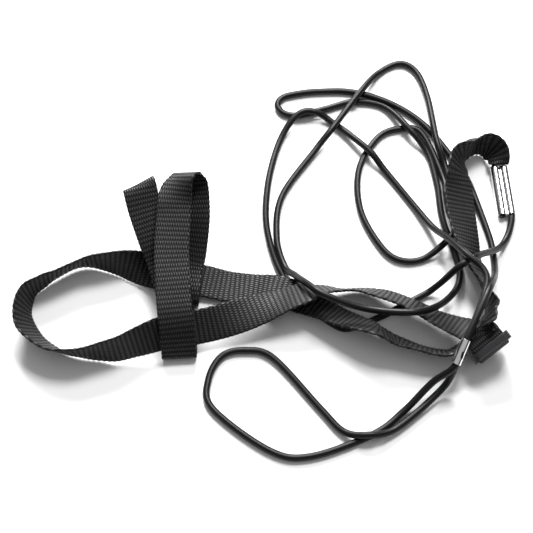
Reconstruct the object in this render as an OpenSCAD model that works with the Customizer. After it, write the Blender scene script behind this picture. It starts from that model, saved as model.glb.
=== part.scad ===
// Small harness of black ribbed webbing on a long elastic cord, in millimetres.
// It lies on Z = 0. +X runs along the harness from its far lobe to the slider, +Y points away from
// the hand loop and +Z points up.

/* [Webbing] */
// Width of the flat webbing
web_w = 15; // [14:0.5:15]
// Thickness of the webbing
web_t = 1.3; // [1:0.1:1.4]

/* [Slider] */
// Length of the slider's frame, across the webbing
slider_len = 18.7; // [18.7:0.1:19.5]
// Height of the slider's frame, across both slots
slider_h = 13.2; // [13.2:0.1:14]
// Thickness of the slider's frame
slider_t = 3.6; // [3.4:0.1:3.6]
// Width of each end rail of the slider
rail_w = 1.5; // [1.3:0.1:1.5]
// Width of each outer bar of the slider
bar_w = 1.7; // [1.5:0.1:1.7]
// Width of the thin centre bar that the webbing turns round
core_w = 2.4; // [2:0.1:2.4]
// Thickness of the centre bar
core_t = 1.5; // [1.2:0.1:1.5]

/* [Cord and its metal] */
// Diameter of the elastic cord
cord_d = 3; // [2.6:0.1:3]
// Outer diameter of each lobe of the double crimp sleeve
lobe_d = 4.4; // [4.2:0.1:4.6]
// Distance between the two lobes' axes
lobe_gap = 4.1; // [4:0.1:4.2]
// Length of the double crimp sleeve
sleeve_len = 25; // [22:0.5:25]
// Bore of each lobe, a slight clearance on the cord
sleeve_bore = 3.1; // [3.1:0.02:3.2]
// Length of the ferrule that joins the hand loop
ferrule_len = 11; // [9:0.5:11]
// Outer diameter of each half of the ferrule
ferrule_d = 4.2; // [4.1:0.1:4.4]
// Distance between the two cords in the ferrule
ferrule_gap = 3.2; // [3.2:0.05:3.3]

/* [Hidden] */
$fn = 48;
slider_at = [92.7, -48, 10.5];
slider_turn = [103, -17, 34];
sleeve_at = [104.9, 33, 2.3];
sleeve_turn = -86;

// The slider's own directions: along its bars, across its slots, and out of its face.
function turned(v) = turn_z(turn_y(turn_x(v, slider_turn[0]), slider_turn[1]), slider_turn[2]);
function turn_x(v, a) = [v[0], v[1]*cos(a) - v[2]*sin(a), v[1]*sin(a) + v[2]*cos(a)];
function turn_y(v, a) = [v[0]*cos(a) + v[2]*sin(a), v[1], v[2]*cos(a) - v[0]*sin(a)];
function turn_z(v, a) = [v[0]*cos(a) - v[1]*sin(a), v[0]*sin(a) + v[1]*cos(a), v[2]];

// A station of the strap inside the slider: height across the slots, distance out of the face.
function seat(across, out) = concat(slider_at + turned([0, across, out]), turned([web_w, 0, 0]));

// Each station is the middle of the webbing, then the direction of its width from the second
// edge to the first, then a smaller width where the webbing is gathered.
strap_route = [
    [103.5, 45.5, 5.2, 8, 5, 1, 9], [103.3, 50.2, 6.2, 7, 6, 8, 12],
    [100, 53.3, 7.6, 5, 4, 13], [95.5, 54.2, 7.8, 2, 1, 15], [90.5, 51.5, 7.8, -3, -3, 14],
    [86.3, 47, 9, -8, -3, 12], [84.5, 40, 9.8, -10, -3, 11], [84.5, 32.5, 8, -13, -3, 7],
    [84.5, 23.5, 7, -13, -4, 6], [85.2, 15, 7, -12.5, -4.5, 7], [86, 7.5, 7.5, -11.5, -5, 8.5],
    [87, 0, 8, -9.5, -6, 10], [89.2, -9, 7.5, -6, -8.5, 11], [91, -17, 8.2, -2.5, -8, 12.5],
    [92.5, -24.5, 9.5, 0.5, -7, 13], [93, -30.5, 11.8, 3, -5.5, 13.2],
    [91.9, -35, 14.2, 4.5, -2, 13, 14], [91, -39, 15.6, 7.5, 1.5, 10.5, 12.5],
    [88.2, -42, 16.1, 11.5, 7, 5, 12], seat(3.8, -6), seat(3.9, -3.4), seat(3.9, 0),
    seat(3.7, 1.3), seat(2.6, 2.15), seat(0, 2.4), seat(-2.6, 2.15), seat(-3.7, 1.3),
    seat(-3.9, 0), seat(-3.9, -3.4), seat(-3.7, -6.4), [88, -40.8, 7.6, 5, 8, -7, 13],
    [85.3, -41.4, 7, 2, 7, -12, 11], [81.7, -44.4, 6.6, 1, 8, -12, 11],
    [75.5, -48.5, 6.4, 1, 9, -12, 11], [68.5, -48, 6.6, 0, 9, -12, 12],
    [61.5, -46, 6.8, 0, 9, -12, 13.5], [53.5, -43, 7, 0, 10, -11],
    [45.5, -40, 10.4, 1, 10, -11], [37.5, -35.9, 8.6, 2, 11, -10],
    [29.5, -31.6, 6.2, 3, 12, -8.5], [20.5, -26, 5, 4, 13.5, -5], [11.5, -21, 4.2, 6, 14, 0],
    [1.5, -17.5, 4, 6, 14, 0], [-8.5, -16, 1.8, 5, 14, 0], [-18.5, -15, 2.3, 4, 14, 0],
    [-28.5, -13, 3.5, 3, 14.6, 1], [-39.5, -11, 3.8, 2.5, 14.5, 1], [-49.5, -9, 3.9, 1, 14, 3],
    [-56.5, -7.5, 5.5, 1, 11, 9], [-63.5, -6.5, 7.2, 2, 6, 13], [-71.5, -6, 8, 2, 1, 15],
    [-79.5, -6, 8, 1, -3, 15], [-85.5, -8, 8, 0, -5, 14], [-92.5, -12, 8, -1, -5, 14],
    [-97.5, -15, 7.9, -3, -4, 14], [-103.5, -20, 7.7, -4.5, -3.5, 13.5],
    [-105.8, -28, 7.5, -5.5, -3.5, 13.5], [-104, -36, 7, -6.5, -6, 12.5],
    [-99, -42.3, 7, -4, -7, 12.8], [-92.5, -46.8, 7, -2, -7, 13],
    [-87.5, -48.7, 7.5, 0, -5, 14], [-80.5, -49.5, 8, 1, -3, 14.5], [-72.5, -49, 8, 1, 1, 15],
    [-64.5, -48, 8.5, 2, 5, 14], [-55.5, -44.5, 8.8, 3, 9, 12], [-45.5, -40.7, 8.8, 2, 12, 9],
    [-35.5, -38.2, 8, 2, 13, 7.5], [-25.5, -36, 7.9, 2.5, 13, 7.5],
    [-14.5, -32.5, 7.8, 2, 14, 4], [-4.5, -29, 8.2, 1, 15, 0], [4.5, -26, 9.2, 1, 14.3, -4.4],
    [13.5, -23, 10.8, 1, 13.5, -6.5], [23.5, -20, 9.6, 1, 9.5, -11.5],
    [31.5, -19.5, 7.8, 2, 7, -13], [40.5, -19.5, 7.4, 3, 8, -12.5],
    [48.5, -22.1, 9, 4, 9, -11], [56.5, -25.3, 9.2, 4, 9.5, -11],
    [64.5, -29.5, 9, 5, 9.5, -10.3], [71.5, -34, 9.5, 6, 9.8, -9.3],
    [78.2, -37.4, 10, 8.5, 10, -6, 13.5], [82.4, -39.6, 11.2, 10.5, 9.5, -1.5, 12.5],
    [86, -42.1, 13, 11.5, 8.5, 3, 12.5], seat(2.2, -6.2), seat(2.4, -3), seat(2.4, -1),
    seat(2.2, -0.3), seat(1.4, 0.6), seat(0, 0.8), seat(-1.4, 0.6), seat(-2.2, -0.3),
    seat(-2.4, -1), seat(-2.4, -3), seat(-2.2, -6.2), seat(-0.9, -10)
];

keeper_route = [
    [-38.5, -47.4, 1.25, 15, 1, 0], [-38.5, -49.1, 2.8, 15, 1, 0],
    [-38.5, -47.9, 5.4, 15, 1, 0], [-39, -42.2, 12, 15, 1, 0], [-40, -35, 16, 15, 0.5, 0],
    [-41, -24, 18, 15, 0, 0], [-42, -8, 20.2, 15, 0, 0], [-41.5, 8, 23.2, 15, 1, 1],
    [-41.2, 15, 25, 15, 0, 1.5], [-40.3, 20.5, 26.4, 14, -2, 5],
    [-38.7, 25, 27, 11.5, -4.5, 8.5], [-36.8, 27.8, 26, 11.5, -4.5, 8.5],
    [-35.3, 28.6, 23.8, 11.5, -4.5, 8.5], [-34.3, 27, 21.2, 14, -3, 5],
    [-33.8, 21.5, 18.4, 15, 0, 2], [-33.6, 11, 14.8, 15, 0, 0], [-35, -1, 8.8, 15, -1, 0],
    [-36.5, -8, 6.4, 15, -2, 0], [-37.5, -17.8, 5.8, 15, -3, 0], [-38, -22.8, 3.2, 15, -3, 0],
    [-38.5, -18, 1, 15, -2, 0], [-40.5, -11, 1.05, 15, 2, 0], [-43.5, -3, 1.05, 14, 5, 0],
    [-46.5, 5, 2.5, 13, 6, 0], [-50.5, 13, 9.5, 13, 8, -1], [-55.5, 20, 17.5, 12, 8, 0],
    [-57, 24, 21.5, 12, 8, 1], [-56.5, 22, 24.3, 13, 7, 1], [-54, 13, 20.5, 14, 5, 0],
    [-49, 0, 14.8, 14, 4, 0], [-46, -7, 11, 14, 4, 0], [-43, -16, 8.5, 15, 3, 0],
    [-41, -24, 6.3, 15, 2, 0], [-40, -27.3, 3.2, 15, 1, 0], [-39.5, -31, 1.4, 15, 1, 0],
    [-39, -36, 1, 15, 1, 0], [-38.5, -42.5, 1, 15, 1, 0]
];

// Middle of the cord, from the end in the sleeve's right lobe to the end in its left lobe.
cord_route = [
    [106.1, 45.5, 2.3], [108, 21, 2.3], [102.5, 5.5, 2.5], [91, -5, 12.9], [86.5, -8.7, 16],
    [80.5, -12.5, 15.2], [72.5, -16, 5], [64.5, -20, 1.6], [38.5, -33.5, 1.6],
    [26.5, -32.5, 1.6], [7.5, -13, 1.6], [-1, 12, 1.6], [-1, 36, 1.6], [4.5, 60, 1.7],
    [12.5, 72.5, 4.7], [20.5, 74.5, 4.7], [29.5, 70, 1.8], [44.5, 54, 4.8], [52.5, 44, 1.8],
    [64.5, 26, 1.8], [72, 13, 5], [77.5, 3.5, 12], [84, -8, 18.8], [90.5, -15, 18.8],
    [91.5, -23, 19], [85.4, -39.7, 19], [81.9, -47.1, 16.8], [76.9, -57.6, 12.3],
    [71.5, -64.5, 4], [52.5, -81, 2.5], [40.5, -85, 4.8], [30.5, -82.5, 2.2], [21, -72, 1.6],
    [1.5, -49, 1.6], [-10.5, -45.3, 1.6], [-20.5, -48, 1.6], [-26, -59, 1.6], [-24, -72, 1.6],
    [-0.5, -90.5, 1.6], [16.5, -93.2, 1.6], [42.5, -83.5, 1.6], [55.5, -73.5, 2],
    [67.5, -63, 8], [76.4, -58.7, 15.3], [81.4, -48.2, 19.8], [90.5, -29.5, 22],
    [94, -21.5, 18.5], [97, -12.5, 9.5], [98.2, -1, 2.5], [97, 11, 1.6], [90, 37.5, 1.6],
    [85.8, 44.5, 1.6], [82.7, 52, 1.6], [70.5, 70, 1.6], [55.5, 81.5, 1.6], [38.5, 87.5, 1.6],
    [22.5, 87.8, 1.6], [12.5, 86.5, 1.6], [6, 84.4, 1.6], [3.6, 80, 1.6], [6.6, 75.6, 1.6],
    [13.5, 74.6, 1.6], [25.5, 78, 1.6], [39.5, 82, 1.6], [53.5, 79, 1.6], [63.5, 65.5, 4.8],
    [72, 54, 1.6], [75.5, 37, 1.6], [77, 19, 1.6], [83, -8, 1.6], [76, -23.8, 7],
    [61.5, -35, 17.8], [41.5, -32.5, 15.4], [23.5, -27.5, 18.3], [16, -20, 14.5],
    [11, -12.5, 7.8], [6.5, -5, 2.2], [3, 10, 1.6], [5.5, 31, 1.6], [20.5, 54.5, 2.4],
    [29, 65.5, 5], [42.5, 86, 4.8], [51.5, 98.5, 1.6], [61.5, 103.8, 1.6], [69, 99, 1.6],
    [73.5, 84, 2.5], [76.2, 58.5, 4.8], [79.8, 46, 1.8], [82.7, 28, 1.6], [82.5, 16, 1.8],
    [79.5, 8, 4.8], [67.5, -1, 1.6], [56.5, -1.5, 1.6], [48.5, 6, 1.6], [40.5, 24, 1.6],
    [40.5, 45, 1.6], [49.5, 62, 1.6], [59.5, 67, 1.6], [70, 64.5, 1.6], [78.3, 41, 1.8],
    [78.8, 30, 4.8], [79.9, 20, 4.8], [83, 15.4, 4.4], [87, 16.8, 2.5], [88.7, 22, 1.6],
    [88, 31, 1.6], [84.1, 46, 4.8], [90.5, 59, 1.6], [99.5, 60, 1.6], [107, 57, 1.6],
    [107, 51, 1.6], [102.1, 45.8, 2.3], [103.7, 20, 2.3]
];

// Smooth curve through the stations, as Catmull-Rom spans of "steps" pieces.
function span(a, b, c, d, t) =
    (2*b + (c - a)*t + (2*a - 5*b + 4*c - d)*t*t + (3*b - a - 3*c + d)*t*t*t)/2;
function curve(p, steps, closed) = let (n = len(p), spans = closed ? n : n - 1) [
    for (i = [0:spans - 1], k = [0:steps - 1])
        let (a = closed ? p[(i + n - 1) % n] : p[max(i - 1, 0)])
        let (d = closed ? p[(i + 2) % n] : p[min(i + 2, n - 1)])
            span(a, p[i], p[(i + 1) % n], d, k/steps),
    if (!closed) p[n - 1]
];
function unit(v) = v/norm(v);
function ahead(p, i, closed) = let (n = len(p))
    unit(closed ? p[(i + 1) % n] - p[(i + n - 1) % n] : p[min(i + 1, n - 1)] - p[max(i - 1, 0)]);

// Webbing of oblong section along a route of stations.
module webbing(route, steps, closed, width) {
    full = [for (s = route) [[s[0], s[1], s[2]], unit([s[3], s[4], s[5]])*(len(s) > 6 ? s[6] : width)]];
    mid = curve([for (s = full) s[0]], steps, closed);
    wide = curve([for (s = full) s[1]], steps, closed);
    size = curve([for (s = full) norm(s[1])], steps, closed);
    n = len(mid);
    points = [for (i = [0:n - 1])
        let (t = ahead(mid, i, closed), w = unit(wide[i] - (wide[i]*t)*t)*size[i]/2)
        let (u = cross(t, unit(w))*web_t/2)
            each [mid[i] + w + u, mid[i] - w + u, mid[i] - w - u, mid[i] + w - u]];
    sides = [for (i = [0:(closed ? n : n - 1) - 1], k = [0:3])
        let (j = (i + 1) % n, m = (k + 1) % 4) each [
            [i*4 + k, i*4 + m, j*4 + m], [i*4 + k, j*4 + m, j*4 + k]]];
    ends = closed ? [] : [[3, 2, 1], [3, 1, 0], [n*4 - 4, n*4 - 3, n*4 - 2], [n*4 - 4, n*4 - 2, n*4 - 1]];
    polyhedron(points, concat(sides, ends));
}

// Round tube along a list of points, with one ring of flats at each point.
module tube(p, d, sides) {
    n = len(p);
    points = [for (i = [0:n - 1])
        let (t = ahead(p, i, false), u = unit(cross(t, [0.1, 0.15, 1])), v = cross(t, u))
            for (k = [0:sides - 1]) p[i] + (u*cos(k*360/sides) + v*sin(k*360/sides))*d/2];
    skin = [for (i = [0:n - 2], k = [0:sides - 1]) let (m = (k + 1) % sides) each [
        [i*sides + k, (i + 1)*sides + m, i*sides + m], [i*sides + k, (i + 1)*sides + k, (i + 1)*sides + m]]];
    caps = [[for (k = [0:sides - 1]) k], [for (k = [sides - 1:-1:0]) (n - 1)*sides + k]];
    polyhedron(points, concat(skin, caps));
}

module main_webbing() {
    color("DimGray") webbing(strap_route, 3, false, web_w);
}

module keeper_loop() {
    color("SlateGray") webbing(keeper_route, 3, true, web_w);
}

// Bar-tack through both layers where the loop's ends overlap.
module keeper_stitch() {
    color("Gray") translate([-38.7, -40, 0.9]) cube([11, 2.4, 1.7], center = true);
}

// Bar-tack through the strap's end and the strap beside it.
module adjuster_stitch() {
    color("Gray") translate(slider_at) rotate(slider_turn)
        translate([0, 0, -8]) cube([10, 4.8, 2], center = true);
}

module bevelled(size, bevel) {
    rotate([90, 0, 90]) translate([0, 0, -size[0]/2]) linear_extrude(size[0]) polygon([
        for (x = [-1, 1], y = [-x, x]) each x*y > 0
            ? [[x*size[1]/2, y*(size[2]/2 - bevel)], [x*(size[1]/2 - bevel), y*size[2]/2]]
            : [[x*(size[1]/2 - bevel), y*size[2]/2], [x*size[1]/2, y*(size[2]/2 - bevel)]]]);
}

module rounded(x, y, r) {
    square([x - 2*r, y], center = true);
    square([x, y - 2*r], center = true);
    for (i = [-1, 1], j = [-1, 1]) translate([i*(x/2 - r), j*(y/2 - r)]) circle(r);
}

// Frame of two slots with rounded corners and a thin centre bar set back from the face.
module slide_adjuster() {
    window = slider_h - 2*bar_w;
    color("DarkSlateGray") translate(slider_at) rotate(slider_turn) {
        difference() {
            intersection() {
                bevelled([slider_len, slider_h, slider_t], 0.6);
                linear_extrude(slider_t + 1, center = true) rounded(slider_len, slider_h, 3);
            }
            cube([slider_len - 2*rail_w, window, slider_t + 1], center = true);
        }
        translate([0, 0, core_t/2 - slider_t/2])
            bevelled([slider_len - 2*rail_w + 0.4, core_w, core_t], 0.3);
    }
}

// Two round lobes side by side, each with a bore for one end of the cord.
module crimp_sleeve() {
    color("Silver") translate(sleeve_at) rotate([0, 0, sleeve_turn]) rotate([0, 90, 0])
        difference() {
            union() {
                for (side = [-1, 1]) translate([0, side*lobe_gap/2, 0])
                    cylinder(d = lobe_d, h = sleeve_len, center = true);
                cube([1.6, lobe_gap, sleeve_len], center = true);
            }
            for (side = [-1, 1]) translate([0, side*lobe_gap/2, 0])
                cylinder(d = sleeve_bore, h = sleeve_len + 1, center = true);
        }
}

// Oval ferrule round both legs of the hand loop, one above the other.
module cord_ferrule() {
    color("Silver") translate([79.2, -52.9, 16.1]) rotate([0, 21.2, -115.5]) rotate([0, 90, 0])
        difference() {
            union() {
                for (side = [-1, 1]) translate([side*ferrule_gap/2, 0, 0])
                    cylinder(d = ferrule_d, h = ferrule_len, center = true);
                cube([ferrule_gap, ferrule_d*0.9, ferrule_len], center = true);
            }
            for (side = [-1, 1]) translate([side*ferrule_gap/2, 0, 0])
                cylinder(d = sleeve_bore, h = ferrule_len + 1, center = true);
        }
}

module elastic_cord() {
    color("Black") tube(cord_route, cord_d, 8);
}

main_webbing();
keeper_loop();
slide_adjuster();
adjuster_stitch();
keeper_stitch();
crimp_sleeve();
elastic_cord();
cord_ferrule();
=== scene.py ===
"""Looks of the small webbing harness: ribbed black webbing, elastic cord, plastic slider and metal."""

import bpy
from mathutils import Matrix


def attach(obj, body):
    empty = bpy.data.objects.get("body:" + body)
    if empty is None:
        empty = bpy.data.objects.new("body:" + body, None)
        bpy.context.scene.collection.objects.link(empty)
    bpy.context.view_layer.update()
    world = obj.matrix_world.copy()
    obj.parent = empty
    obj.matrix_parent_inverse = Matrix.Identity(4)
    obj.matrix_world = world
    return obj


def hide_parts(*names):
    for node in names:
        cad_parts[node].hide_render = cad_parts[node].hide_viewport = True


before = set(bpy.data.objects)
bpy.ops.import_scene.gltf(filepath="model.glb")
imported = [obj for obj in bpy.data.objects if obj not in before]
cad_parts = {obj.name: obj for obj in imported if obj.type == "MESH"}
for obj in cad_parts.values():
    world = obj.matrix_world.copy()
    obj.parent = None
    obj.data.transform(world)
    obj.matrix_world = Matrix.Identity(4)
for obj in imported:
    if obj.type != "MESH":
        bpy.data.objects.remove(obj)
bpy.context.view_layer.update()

import math

import bpy
import numpy as np
from mathutils import Matrix, Vector

MM = 0.001

# ---- Camera, at the photograph's angle ----
ELEVATION = math.radians(62)
DISTANCE = 0.651
TARGET = Vector((-0.0015, -0.004, 0))
LENS_MM = 100
SENSOR_MM = 36
cam = bpy.data.objects.new("camera", bpy.data.cameras.new("camera"))
bpy.context.collection.objects.link(cam)
cam.data.lens = LENS_MM
cam.data.sensor_width = SENSOR_MM
back = Vector((0, -math.cos(ELEVATION), math.sin(ELEVATION)))
cam.location = TARGET + back*DISTANCE
cam.rotation_mode = "QUATERNION"
cam.rotation_quaternion = (-back).to_track_quat("-Z", "Y")
bpy.context.scene.camera = cam

# ---- Real sizes, in millimetres ----
WEB_W = 15.0
WEB_T = 1.3
CORD_D = 3.0
SLIDER_AT = (92.7, -48, 10.5)
SLIDER_TURN = (103, -17, 34)

# The webbing's ribs: from one to the next, their depth on each face, how far the edge draws in
# between them as a share of the width, how blunt they are, and the width of one yarn in a rib.
RIB = 2.05
RIB_DEPTH = 0.28
EDGE_NIP = 0.025
RIB_BLUNTNESS = 0.7
YARN = 1.05

# Half of the webbing's section: places across it, and how much of the thickness is there.
ACROSS = (-1, -0.985, -0.95, -0.88, -0.7, -0.45, -0.2, 0, 0.2, 0.45, 0.7, 0.88, 0.95, 0.985, 1)
THICKNESS = (0, 0.6, 0.9, 1, 1, 1, 1, 1, 1, 1, 1, 1, 0.9, 0.6, 0)

# How finely the curves are drawn.
WEB_STEPS = 16
ROWS_PER_RIB = 8
CORD_STEPS = 12
CORD_ROW = 1.0
CORD_SIDES = 18


def turned(v):
    turn = Matrix.Rotation(math.radians(SLIDER_TURN[2]), 3, "Z") \
        @ Matrix.Rotation(math.radians(SLIDER_TURN[1]), 3, "Y") \
        @ Matrix.Rotation(math.radians(SLIDER_TURN[0]), 3, "X")
    return turn @ Vector(v)


def seat(across, out):
    """A station of the strap inside the slider."""
    return [*(Vector(SLIDER_AT) + turned((0, across, out))), *(turned((WEB_W, 0, 0)))]


# ---- Routes, as in the CAD model: middle of the webbing, direction of its width, smaller width ----
strap_route = [
    [103.5, 45.5, 5.2, 8, 5, 1, 9], [103.3, 50.2, 6.2, 7, 6, 8, 12],
    [100, 53.3, 7.6, 5, 4, 13], [95.5, 54.2, 7.8, 2, 1, 15], [90.5, 51.5, 7.8, -3, -3, 14],
    [86.3, 47, 9, -8, -3, 12], [84.5, 40, 9.8, -10, -3, 11], [84.5, 32.5, 8, -13, -3, 7],
    [84.5, 23.5, 7, -13, -4, 6], [85.2, 15, 7, -12.5, -4.5, 7], [86, 7.5, 7.5, -11.5, -5, 8.5],
    [87, 0, 8, -9.5, -6, 10], [89.2, -9, 7.5, -6, -8.5, 11], [91, -17, 8.2, -2.5, -8, 12.5],
    [92.5, -24.5, 9.5, 0.5, -7, 13], [93, -30.5, 11.8, 3, -5.5, 13.2],
    [91.9, -35, 14.2, 4.5, -2, 13, 14], [91, -39, 15.6, 7.5, 1.5, 10.5, 12.5],
    [88.2, -42, 16.1, 11.5, 7, 5, 12], seat(3.8, -6), seat(3.9, -3.4), seat(3.9, 0),
    seat(3.7, 1.3), seat(2.6, 2.15), seat(0, 2.4), seat(-2.6, 2.15), seat(-3.7, 1.3),
    seat(-3.9, 0), seat(-3.9, -3.4), seat(-3.7, -6.4), [88, -40.8, 7.6, 5, 8, -7, 13],
    [85.3, -41.4, 7, 2, 7, -12, 11], [81.7, -44.4, 6.6, 1, 8, -12, 11],
    [75.5, -48.5, 6.4, 1, 9, -12, 11], [68.5, -48, 6.6, 0, 9, -12, 12],
    [61.5, -46, 6.8, 0, 9, -12, 13.5], [53.5, -43, 7, 0, 10, -11],
    [45.5, -40, 10.4, 1, 10, -11], [37.5, -35.9, 8.6, 2, 11, -10],
    [29.5, -31.6, 6.2, 3, 12, -8.5], [20.5, -26, 5, 4, 13.5, -5], [11.5, -21, 4.2, 6, 14, 0],
    [1.5, -17.5, 4, 6, 14, 0], [-8.5, -16, 1.8, 5, 14, 0], [-18.5, -15, 2.3, 4, 14, 0],
    [-28.5, -13, 3.5, 3, 14.6, 1], [-39.5, -11, 3.8, 2.5, 14.5, 1], [-49.5, -9, 3.9, 1, 14, 3],
    [-56.5, -7.5, 5.5, 1, 11, 9], [-63.5, -6.5, 7.2, 2, 6, 13], [-71.5, -6, 8, 2, 1, 15],
    [-79.5, -6, 8, 1, -3, 15], [-85.5, -8, 8, 0, -5, 14], [-92.5, -12, 8, -1, -5, 14],
    [-97.5, -15, 7.9, -3, -4, 14], [-103.5, -20, 7.7, -4.5, -3.5, 13.5],
    [-105.8, -28, 7.5, -5.5, -3.5, 13.5], [-104, -36, 7, -6.5, -6, 12.5],
    [-99, -42.3, 7, -4, -7, 12.8], [-92.5, -46.8, 7, -2, -7, 13],
    [-87.5, -48.7, 7.5, 0, -5, 14], [-80.5, -49.5, 8, 1, -3, 14.5], [-72.5, -49, 8, 1, 1, 15],
    [-64.5, -48, 8.5, 2, 5, 14], [-55.5, -44.5, 8.8, 3, 9, 12], [-45.5, -40.7, 8.8, 2, 12, 9],
    [-35.5, -38.2, 8, 2, 13, 7.5], [-25.5, -36, 7.9, 2.5, 13, 7.5],
    [-14.5, -32.5, 7.8, 2, 14, 4], [-4.5, -29, 8.2, 1, 15, 0], [4.5, -26, 9.2, 1, 14.3, -4.4],
    [13.5, -23, 10.8, 1, 13.5, -6.5], [23.5, -20, 9.6, 1, 9.5, -11.5],
    [31.5, -19.5, 7.8, 2, 7, -13], [40.5, -19.5, 7.4, 3, 8, -12.5],
    [48.5, -22.1, 9, 4, 9, -11], [56.5, -25.3, 9.2, 4, 9.5, -11],
    [64.5, -29.5, 9, 5, 9.5, -10.3], [71.5, -34, 9.5, 6, 9.8, -9.3],
    [78.2, -37.4, 10, 8.5, 10, -6, 13.5], [82.4, -39.6, 11.2, 10.5, 9.5, -1.5, 12.5],
    [86, -42.1, 13, 11.5, 8.5, 3, 12.5], seat(2.2, -6.2), seat(2.4, -3), seat(2.4, -1),
    seat(2.2, -0.3), seat(1.4, 0.6), seat(0, 0.8), seat(-1.4, 0.6), seat(-2.2, -0.3),
    seat(-2.4, -1), seat(-2.4, -3), seat(-2.2, -6.2), seat(-0.9, -10)
]

keeper_route = [
    [-38.5, -47.4, 1.25, 15, 1, 0], [-38.5, -49.1, 2.8, 15, 1, 0],
    [-38.5, -47.9, 5.4, 15, 1, 0], [-39, -42.2, 12, 15, 1, 0], [-40, -35, 16, 15, 0.5, 0],
    [-41, -24, 18, 15, 0, 0], [-42, -8, 20.2, 15, 0, 0], [-41.5, 8, 23.2, 15, 1, 1],
    [-41.2, 15, 25, 15, 0, 1.5], [-40.3, 20.5, 26.4, 14, -2, 5],
    [-38.7, 25, 27, 11.5, -4.5, 8.5], [-36.8, 27.8, 26, 11.5, -4.5, 8.5],
    [-35.3, 28.6, 23.8, 11.5, -4.5, 8.5], [-34.3, 27, 21.2, 14, -3, 5],
    [-33.8, 21.5, 18.4, 15, 0, 2], [-33.6, 11, 14.8, 15, 0, 0], [-35, -1, 8.8, 15, -1, 0],
    [-36.5, -8, 6.4, 15, -2, 0], [-37.5, -17.8, 5.8, 15, -3, 0], [-38, -22.8, 3.2, 15, -3, 0],
    [-38.5, -18, 1, 15, -2, 0], [-40.5, -11, 1.05, 15, 2, 0], [-43.5, -3, 1.05, 14, 5, 0],
    [-46.5, 5, 2.5, 13, 6, 0], [-50.5, 13, 9.5, 13, 8, -1], [-55.5, 20, 17.5, 12, 8, 0],
    [-57, 24, 21.5, 12, 8, 1], [-56.5, 22, 24.3, 13, 7, 1], [-54, 13, 20.5, 14, 5, 0],
    [-49, 0, 14.8, 14, 4, 0], [-46, -7, 11, 14, 4, 0], [-43, -16, 8.5, 15, 3, 0],
    [-41, -24, 6.3, 15, 2, 0], [-40, -27.3, 3.2, 15, 1, 0], [-39.5, -31, 1.4, 15, 1, 0],
    [-39, -36, 1, 15, 1, 0], [-38.5, -42.5, 1, 15, 1, 0]
]

# Middle of the cord, from its end in the sleeve's right lobe to its end in the left lobe.
cord_route = [
    [106.1, 45.5, 2.3], [108, 21, 2.3], [102.5, 5.5, 2.5], [91, -5, 12.9], [86.5, -8.7, 16],
    [80.5, -12.5, 15.2], [72.5, -16, 5], [64.5, -20, 1.6], [38.5, -33.5, 1.6],
    [26.5, -32.5, 1.6], [7.5, -13, 1.6], [-1, 12, 1.6], [-1, 36, 1.6], [4.5, 60, 1.7],
    [12.5, 72.5, 4.7], [20.5, 74.5, 4.7], [29.5, 70, 1.8], [44.5, 54, 4.8], [52.5, 44, 1.8],
    [64.5, 26, 1.8], [72, 13, 5], [77.5, 3.5, 12], [84, -8, 18.8], [90.5, -15, 18.8],
    [91.5, -23, 19], [85.4, -39.7, 19], [81.9, -47.1, 16.8], [76.9, -57.6, 12.3],
    [71.5, -64.5, 4], [52.5, -81, 2.5], [40.5, -85, 4.8], [30.5, -82.5, 2.2], [21, -72, 1.6],
    [1.5, -49, 1.6], [-10.5, -45.3, 1.6], [-20.5, -48, 1.6], [-26, -59, 1.6], [-24, -72, 1.6],
    [-0.5, -90.5, 1.6], [16.5, -93.2, 1.6], [42.5, -83.5, 1.6], [55.5, -73.5, 2],
    [67.5, -63, 8], [76.4, -58.7, 15.3], [81.4, -48.2, 19.8], [90.5, -29.5, 22],
    [94, -21.5, 18.5], [97, -12.5, 9.5], [98.2, -1, 2.5], [97, 11, 1.6], [90, 37.5, 1.6],
    [85.8, 44.5, 1.6], [82.7, 52, 1.6], [70.5, 70, 1.6], [55.5, 81.5, 1.6], [38.5, 87.5, 1.6],
    [22.5, 87.8, 1.6], [12.5, 86.5, 1.6], [6, 84.4, 1.6], [3.6, 80, 1.6], [6.6, 75.6, 1.6],
    [13.5, 74.6, 1.6], [25.5, 78, 1.6], [39.5, 82, 1.6], [53.5, 79, 1.6], [63.5, 65.5, 4.8],
    [72, 54, 1.6], [75.5, 37, 1.6], [77, 19, 1.6], [83, -8, 1.6], [76, -23.8, 7],
    [61.5, -35, 17.8], [41.5, -32.5, 15.4], [23.5, -27.5, 18.3], [16, -20, 14.5],
    [11, -12.5, 7.8], [6.5, -5, 2.2], [3, 10, 1.6], [5.5, 31, 1.6], [20.5, 54.5, 2.4],
    [29, 65.5, 5], [42.5, 86, 4.8], [51.5, 98.5, 1.6], [61.5, 103.8, 1.6], [69, 99, 1.6],
    [73.5, 84, 2.5], [76.2, 58.5, 4.8], [79.8, 46, 1.8], [82.7, 28, 1.6], [82.5, 16, 1.8],
    [79.5, 8, 4.8], [67.5, -1, 1.6], [56.5, -1.5, 1.6], [48.5, 6, 1.6], [40.5, 24, 1.6],
    [40.5, 45, 1.6], [49.5, 62, 1.6], [59.5, 67, 1.6], [70, 64.5, 1.6], [78.3, 41, 1.8],
    [78.8, 30, 4.8], [79.9, 20, 4.8], [83, 15.4, 4.4], [87, 16.8, 2.5], [88.7, 22, 1.6],
    [88, 31, 1.6], [84.1, 46, 4.8], [90.5, 59, 1.6], [99.5, 60, 1.6], [107, 57, 1.6],
    [107, 51, 1.6], [102.1, 45.8, 2.3], [103.7, 20, 2.3]
]


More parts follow.
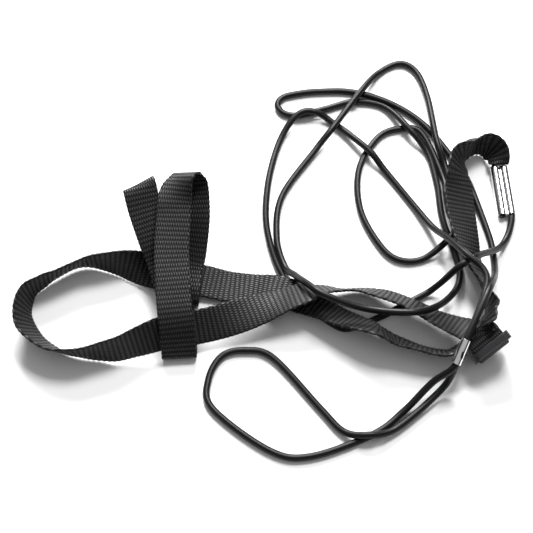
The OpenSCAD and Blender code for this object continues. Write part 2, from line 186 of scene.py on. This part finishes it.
# ---- Curves ----
def smooth(points, steps, closed=False):
    """Catmull-Rom curve through the rows of points."""
    p = np.asarray(points, float)
    n = len(p)
    out = []
    for i in range(n if closed else n - 1):
        a = p[(i - 1) % n] if closed or i else p[0]
        b, c = p[i], p[(i + 1) % n]
        d = p[(i + 2) % n] if closed or i + 2 < n else p[-1]
        for k in range(steps):
            t = k/steps
            out.append((2*b + (c - a)*t + (2*a - 5*b + 4*c - d)*t*t + (3*b - a - 3*c + d)*t**3)/2)
    if not closed:
        out.append(p[-1])
    return np.array(out)


def even(rows, step, closed=False):
    """The same curve with its rows a fixed distance apart, and that distance."""
    line = np.vstack([rows, rows[:1]]) if closed else rows
    along = np.concatenate([[0], np.cumsum(np.linalg.norm(np.diff(line[:, :3], axis=0), axis=1))])
    count = max(8, int(round(along[-1]/step)))
    at = np.linspace(0, along[-1], count + 1)
    rows = np.column_stack([np.interp(at, along, line[:, k]) for k in range(line.shape[1])])
    return (rows[:-1] if closed else rows), along[-1]/count


def normalised(v):
    return v/np.linalg.norm(v, axis=1)[:, None]


def directions(line, closed):
    t = np.roll(line, -1, 0) - np.roll(line, 1, 0)
    if not closed:
        t[0], t[-1] = line[1] - line[0], line[-1] - line[-2]
    return normalised(t)


def skin(name, rings, uvs, closed):
    """A mesh through rings of points, each ring closed on itself, with the texture position of each."""
    n, m = rings.shape[:2]
    verts = rings.reshape(-1, 3)*MM
    i = np.arange(n if closed else n - 1)
    k = np.arange(m)
    a = (i[:, None]*m + k).ravel()
    b = (i[:, None]*m + (k + 1) % m).ravel()
    c = ((i[:, None] + 1) % n*m + (k + 1) % m).ravel()
    d = ((i[:, None] + 1) % n*m + k).ravel()
    faces = np.column_stack([a, b, c, d]).tolist()
    if not closed:
        faces += [list(range(m))[::-1], list(range((n - 1)*m, n*m))]
    mesh = bpy.data.meshes.new(name)
    mesh.from_pydata(verts.tolist(), [], faces)
    layer = mesh.uv_layers.new(name="weave")
    loops = np.array([loop.vertex_index for loop in mesh.loops])
    layer.data.foreach_set("uv", uvs.reshape(-1, 2)[loops].ravel())
    mesh.shade_smooth()
    piece = bpy.data.objects.new(name, mesh)
    bpy.context.collection.objects.link(piece)
    return piece


def webbing(name, route, closed):
    """Ribbed webbing: a rib across it every RIB, with rounded edges that the ribs make uneven."""
    rows = [[*r[:3], *(np.array(r[3:6])/np.linalg.norm(r[3:6])*(r[6] if len(r) > 6 else WEB_W))]
            for r in route]
    sizes = np.linalg.norm(np.array(rows)[:, 3:], axis=1)
    curve = smooth(np.column_stack([rows, sizes]), WEB_STEPS, closed)
    curve, step = even(curve, RIB/ROWS_PER_RIB, closed)
    mid, wide, size = curve[:, :3], curve[:, 3:6], curve[:, 6]
    t = directions(mid, closed)
    wide = normalised(wide - (wide*t).sum(1)[:, None]*t)
    up = np.cross(t, wide)
    along = np.arange(len(mid))*step
    ribs = round(along[-1]/RIB)
    phase = along/along[-1]*ribs if closed else along/RIB
    rib = np.abs(np.sin(math.pi*phase))**RIB_BLUNTNESS
    face = list(zip(ACROSS, THICKNESS))
    section = face + [(f, -h) for f, h in face[-2:0:-1]]
    rings, uvs = [], []
    for f, h in section:
        half = size/2*(1 - EDGE_NIP*(1 - rib))
        thick = (WEB_T/2 - RIB_DEPTH*(1 - rib))*h
        rings.append(mid + wide*(half*f)[:, None] + up*thick[:, None])
        uvs.append(np.column_stack([phase, f*size/2]))
    piece = skin(name, np.stack(rings, 1), np.stack(uvs, 1), closed)
    return piece, along[-1] + (step if closed else 0)


def frames_along(line):
    """A direction across the line at each point, carried along it with no twist."""
    t = directions(line, False)
    across = [np.cross(t[0], [0, 0, 1])]
    for k in range(1, len(line)):
        v = across[-1] - (across[-1] @ t[k])*t[k]
        across.append(v/np.linalg.norm(v))
    across[0] = across[0]/np.linalg.norm(across[0])
    return np.array(across), t


def tube(name, line, d, sides):
    across, t = frames_along(line)
    over = np.cross(t, across)
    along = np.concatenate([[0], np.cumsum(np.linalg.norm(np.diff(line, axis=0), axis=1))])
    rings, uvs = [], []
    for k in range(sides):
        a = 2*math.pi*k/sides
        rings.append(line + (across*math.cos(a) + over*math.sin(a))*d/2)
        uvs.append(np.column_stack([along, np.full(len(line), k/sides)]))
    return skin(name, np.stack(rings, 1), np.stack(uvs, 1), False)


# ---- Materials: each blend goes from the first colour to the second ----
# The webbing blend runs from black nylon, left as painted shade in the grooves, to a painted highlight on
# the yarn tops.
WEBBING_COLOURS = ((0.0008, 0.0008, 0.0009), (0.05, 0.05, 0.051))
CORD_COLOURS = ((0.003, 0.003, 0.0032), (0.007, 0.007, 0.0073))
PLASTIC_COLOURS = ((0.012, 0.012, 0.013), (0.022, 0.022, 0.024))
METAL_COLOURS = ((0.7, 0.7, 0.71), (0.85, 0.85, 0.86))
THREAD_COLOUR = (0.02, 0.02, 0.021, 1)
FLOOR_COLOUR = (0.92, 0.92, 0.92, 1)
# How deep each bump goes, in metres.
YARN_BUMP = 0.00018
COVER_BUMP = 0.00006
GRAIN_BUMP = 0.00004
METAL_BUMP = 0.00005
THREAD_BUMP = 0.00005
# Rounding that the bevel shader shows on sharp edges, in metres.
PLASTIC_EDGE = 0.0004
METAL_EDGE = 0.0003
# How square each yarn's hump is, and how narrow the highlight painted onto its top is.
YARN_BLUNTNESS = 0.6
YARN_HIGHLIGHT = 6.0
# The cord's cover: crossings around it, and how close they lie along it.
COVER_TURNS = 12
COVER_PITCH = 3.4


def material(name):
    m = bpy.data.materials.new(name)
    m.use_nodes = True
    return m, m.node_tree, m.node_tree.nodes["Principled BSDF"]


def put(tree, socket, value):
    """Sets a socket's constant, or links it to another node's output."""
    if isinstance(value, bpy.types.NodeSocket):
        tree.links.new(value, socket)
    else:
        socket.default_value = value


def math_node(tree, op, a, b=0.0, c=0.0):
    n = tree.nodes.new("ShaderNodeMath")
    n.operation = op
    for socket, value in zip(n.inputs, (a, b, c)):
        put(tree, socket, value)
    return n.outputs[0]


def noise(tree, scale, detail=3.0):
    n = tree.nodes.new("ShaderNodeTexNoise")
    n.inputs["Scale"].default_value = scale
    n.inputs["Detail"].default_value = detail
    tree.links.new(tree.nodes.new("ShaderNodeTexCoord").outputs["Object"], n.inputs["Vector"])
    return n.outputs["Fac"]


def blend_colour(tree, fac, low, high):
    n = tree.nodes.new("ShaderNodeMix")
    n.data_type = "RGBA"
    put(tree, n.inputs[0], fac)
    n.inputs[6].default_value = (*low, 1)
    n.inputs[7].default_value = (*high, 1)
    return n.outputs[2]


def bump(tree, height, distance, strength=1.0):
    n = tree.nodes.new("ShaderNodeBump")
    n.inputs["Distance"].default_value = distance
    n.inputs["Strength"].default_value = strength
    tree.links.new(height, n.inputs["Height"])
    return n.outputs["Normal"]


def weave_position(tree):
    n = tree.nodes.new("ShaderNodeUVMap")
    n.uv_map = "weave"
    s = tree.nodes.new("ShaderNodeSeparateXYZ")
    tree.links.new(n.outputs[0], s.inputs[0])
    return s.outputs[0], s.outputs[1]


def webbing_material():
    """Black nylon: each rib is a row of yarn humps, set half a hump over in the next rib. The base colour
    has a painted highlight on each yarn's top and painted shade in the grooves between.
    """
    m, tree, shader = material("webbing")
    u, v = weave_position(tree)
    row = math_node(tree, "FLOOR", u)
    over = math_node(tree, "MULTIPLY", math_node(tree, "MODULO", row, 2.0), 0.5)
    across = math_node(tree, "ADD", math_node(tree, "DIVIDE", v, YARN), over)
    hump = math_node(tree, "ABSOLUTE", math_node(tree, "SINE", math_node(tree, "MULTIPLY", across, math.pi)))
    rib = math_node(tree, "ABSOLUTE", math_node(tree, "SINE", math_node(tree, "MULTIPLY", u, math.pi)))
    yarn = math_node(tree, "MULTIPLY", math_node(tree, "POWER", hump, YARN_BLUNTNESS),
                     math_node(tree, "POWER", rib, YARN_BLUNTNESS))
    fibre = noise(tree, 5200, 2.0)
    relief = math_node(tree, "ADD", yarn, math_node(tree, "MULTIPLY", fibre, 0.3))
    tree.links.new(bump(tree, relief, YARN_BUMP), shader.inputs["Normal"])
    # Painted highlight on each yarn's top, made patchy at random and blended into the base colour; the
    # grooves between stay dark as painted shade.
    patchy_highlight = math_node(tree, "ADD", 0.55, math_node(tree, "MULTIPLY", noise(tree, 60), 0.7))
    painted_highlight = math_node(tree, "MULTIPLY", math_node(tree, "POWER", yarn, YARN_HIGHLIGHT), patchy_highlight)
    tree.links.new(blend_colour(tree, painted_highlight, *WEBBING_COLOURS),
                   shader.inputs["Base Color"])
    tree.links.new(math_node(tree, "SUBTRACT", 0.8, math_node(tree, "MULTIPLY", yarn, 0.5)),
                   shader.inputs["Roughness"])
    shader.inputs["Specular IOR Level"].default_value = 0.24
    return m


def cord_material():
    """Satin elastic cord with a fine close cover."""
    m, tree, shader = material("cord")
    u, v = weave_position(tree)
    turns = math_node(tree, "MULTIPLY", v, COVER_TURNS*math.pi)
    a = math_node(tree, "SINE",
                  math_node(tree, "ADD", math_node(tree, "MULTIPLY", u, COVER_PITCH), turns))
    b = math_node(tree, "SINE",
                  math_node(tree, "SUBTRACT", math_node(tree, "MULTIPLY", u, COVER_PITCH), turns))
    cover = math_node(tree, "MULTIPLY", a, b)
    relief = math_node(tree, "ADD", math_node(tree, "MULTIPLY", cover, 0.5), noise(tree, 2500, 2.0))
    tree.links.new(bump(tree, relief, COVER_BUMP, 0.7), shader.inputs["Normal"])
    tree.links.new(blend_colour(tree, noise(tree, 90), *CORD_COLOURS),
                   shader.inputs["Base Color"])
    shader.inputs["Roughness"].default_value = 0.36
    shader.inputs["Specular IOR Level"].default_value = 0.2
    shader.inputs["Sheen Weight"].default_value = 0.01
    return m


def plastic_material():
    m, tree, shader = material("slider_plastic")
    tree.links.new(blend_colour(tree, noise(tree, 160), *PLASTIC_COLOURS),
                   shader.inputs["Base Color"])
    edge = tree.nodes.new("ShaderNodeBevel")
    edge.inputs["Radius"].default_value = PLASTIC_EDGE
    grain = bump(tree, noise(tree, 2600, 2.0), GRAIN_BUMP, 0.5)
    tree.links.new(edge.outputs[0], grain.node.inputs["Normal"])
    tree.links.new(grain, shader.inputs["Normal"])
    shader.inputs["Roughness"].default_value = 0.32
    shader.inputs["Specular IOR Level"].default_value = 0.4
    return m


def metal_material():
    m, tree, shader = material("metal")
    shader.inputs["Metallic"].default_value = 1.0
    tree.links.new(blend_colour(tree, noise(tree, 120), *METAL_COLOURS),
                   shader.inputs["Base Color"])
    wear = math_node(tree, "ADD", 0.06, math_node(tree, "MULTIPLY", noise(tree, 700), 0.1))
    tree.links.new(wear, shader.inputs["Roughness"])
    edge = tree.nodes.new("ShaderNodeBevel")
    edge.inputs["Radius"].default_value = METAL_EDGE
    dents = bump(tree, noise(tree, 240, 1.0), METAL_BUMP, 0.3)
    tree.links.new(edge.outputs[0], dents.node.inputs["Normal"])
    tree.links.new(dents, shader.inputs["Normal"])
    return m


def thread_material():
    m, tree, shader = material("thread")
    shader.inputs["Base Color"].default_value = THREAD_COLOUR
    shader.inputs["Roughness"].default_value = 0.6
    tree.links.new(bump(tree, noise(tree, 4000), THREAD_BUMP), shader.inputs["Normal"])
    return m


WEBBING, CORD, PLASTIC = webbing_material(), cord_material(), plastic_material()
METAL, THREAD = metal_material(), thread_material()


def finish_piece(piece, body, mat):
    piece.data.materials.clear()
    piece.data.materials.append(mat)
    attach(piece, body)


# ---- The elastic cord ----
line, _ = even(smooth(cord_route, CORD_STEPS), CORD_ROW)
cord = tube("elastic_cord_cover", line, CORD_D, CORD_SIDES)
finish_piece(cord, "harness", CORD)
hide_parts("elastic_cord")

# ---- Webbing ----
strap, strap_length = webbing("strap_webbing", strap_route, False)
finish_piece(strap, "harness", WEBBING)
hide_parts("main_webbing")
loop, loop_length = webbing("keeper_webbing", keeper_route, True)
finish_piece(loop, "keeper", WEBBING)
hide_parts("keeper_loop")

# ---- Plastic, metal and stitches keep their CAD shape ----
for node, mat in (("slide_adjuster", PLASTIC), ("crimp_sleeve", METAL), ("cord_ferrule", METAL),
                  ("adjuster_stitch", THREAD), ("keeper_stitch", THREAD)):
    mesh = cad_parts[node].data
    mesh.materials.clear()
    mesh.materials.append(mat)

# ---- Floor and light ----
FLOOR_SIZE = 6
KEY_LIGHT = {"place": (-0.12, 0.85, 0.6), "size": 0.4, "power": 23}
TOP_LIGHT = {"place": (0.2, 0.5, 0.95), "size": 0.3, "power": 10}
# The surroundings are dim near the horizon and brighten upwards, between these heights.
SKY_HEIGHTS = (0.35, 0.8)
SKY_STRENGTHS = (0.03, 0.5)

bpy.ops.mesh.primitive_plane_add(size=FLOOR_SIZE, location=(0, 0, 0))
floor = bpy.context.object
floor.name = "floor"
floor_mat, tree, shader = material("floor")
shader.inputs["Base Color"].default_value = FLOOR_COLOUR
shader.inputs["Roughness"].default_value = 0.9
floor.data.materials.append(floor_mat)

world = bpy.data.worlds.new("studio")
bpy.context.scene.world = world
world.use_nodes = True
sky = world.node_tree
height = sky.nodes.new("ShaderNodeSeparateXYZ")
sky.links.new(sky.nodes.new("ShaderNodeTexCoord").outputs["Generated"], height.inputs[0])
rise = sky.nodes.new("ShaderNodeMapRange")
for socket, value in zip(("From Min", "From Max", "To Min", "To Max"), SKY_HEIGHTS + SKY_STRENGTHS):
    rise.inputs[socket].default_value = value
sky.links.new(height.outputs[2], rise.inputs["Value"])
sky.nodes["Background"].inputs[0].default_value = (1, 1, 1, 1)
sky.links.new(rise.outputs[0], sky.nodes["Background"].inputs[1])


def soft_light(name, place, size, power):
    data = bpy.data.lights.new(name, "AREA")
    data.size = size
    data.energy = power
    light = bpy.data.objects.new(name, data)
    bpy.context.collection.objects.link(light)
    light.location = place
    light.rotation_mode = "QUATERNION"
    light.rotation_quaternion = (Vector(place) - TARGET).to_track_quat("Z", "Y")


soft_light("key", **KEY_LIGHT)
soft_light("top", **TOP_LIGHT)
bpy.context.scene.view_settings.view_transform = "Standard"
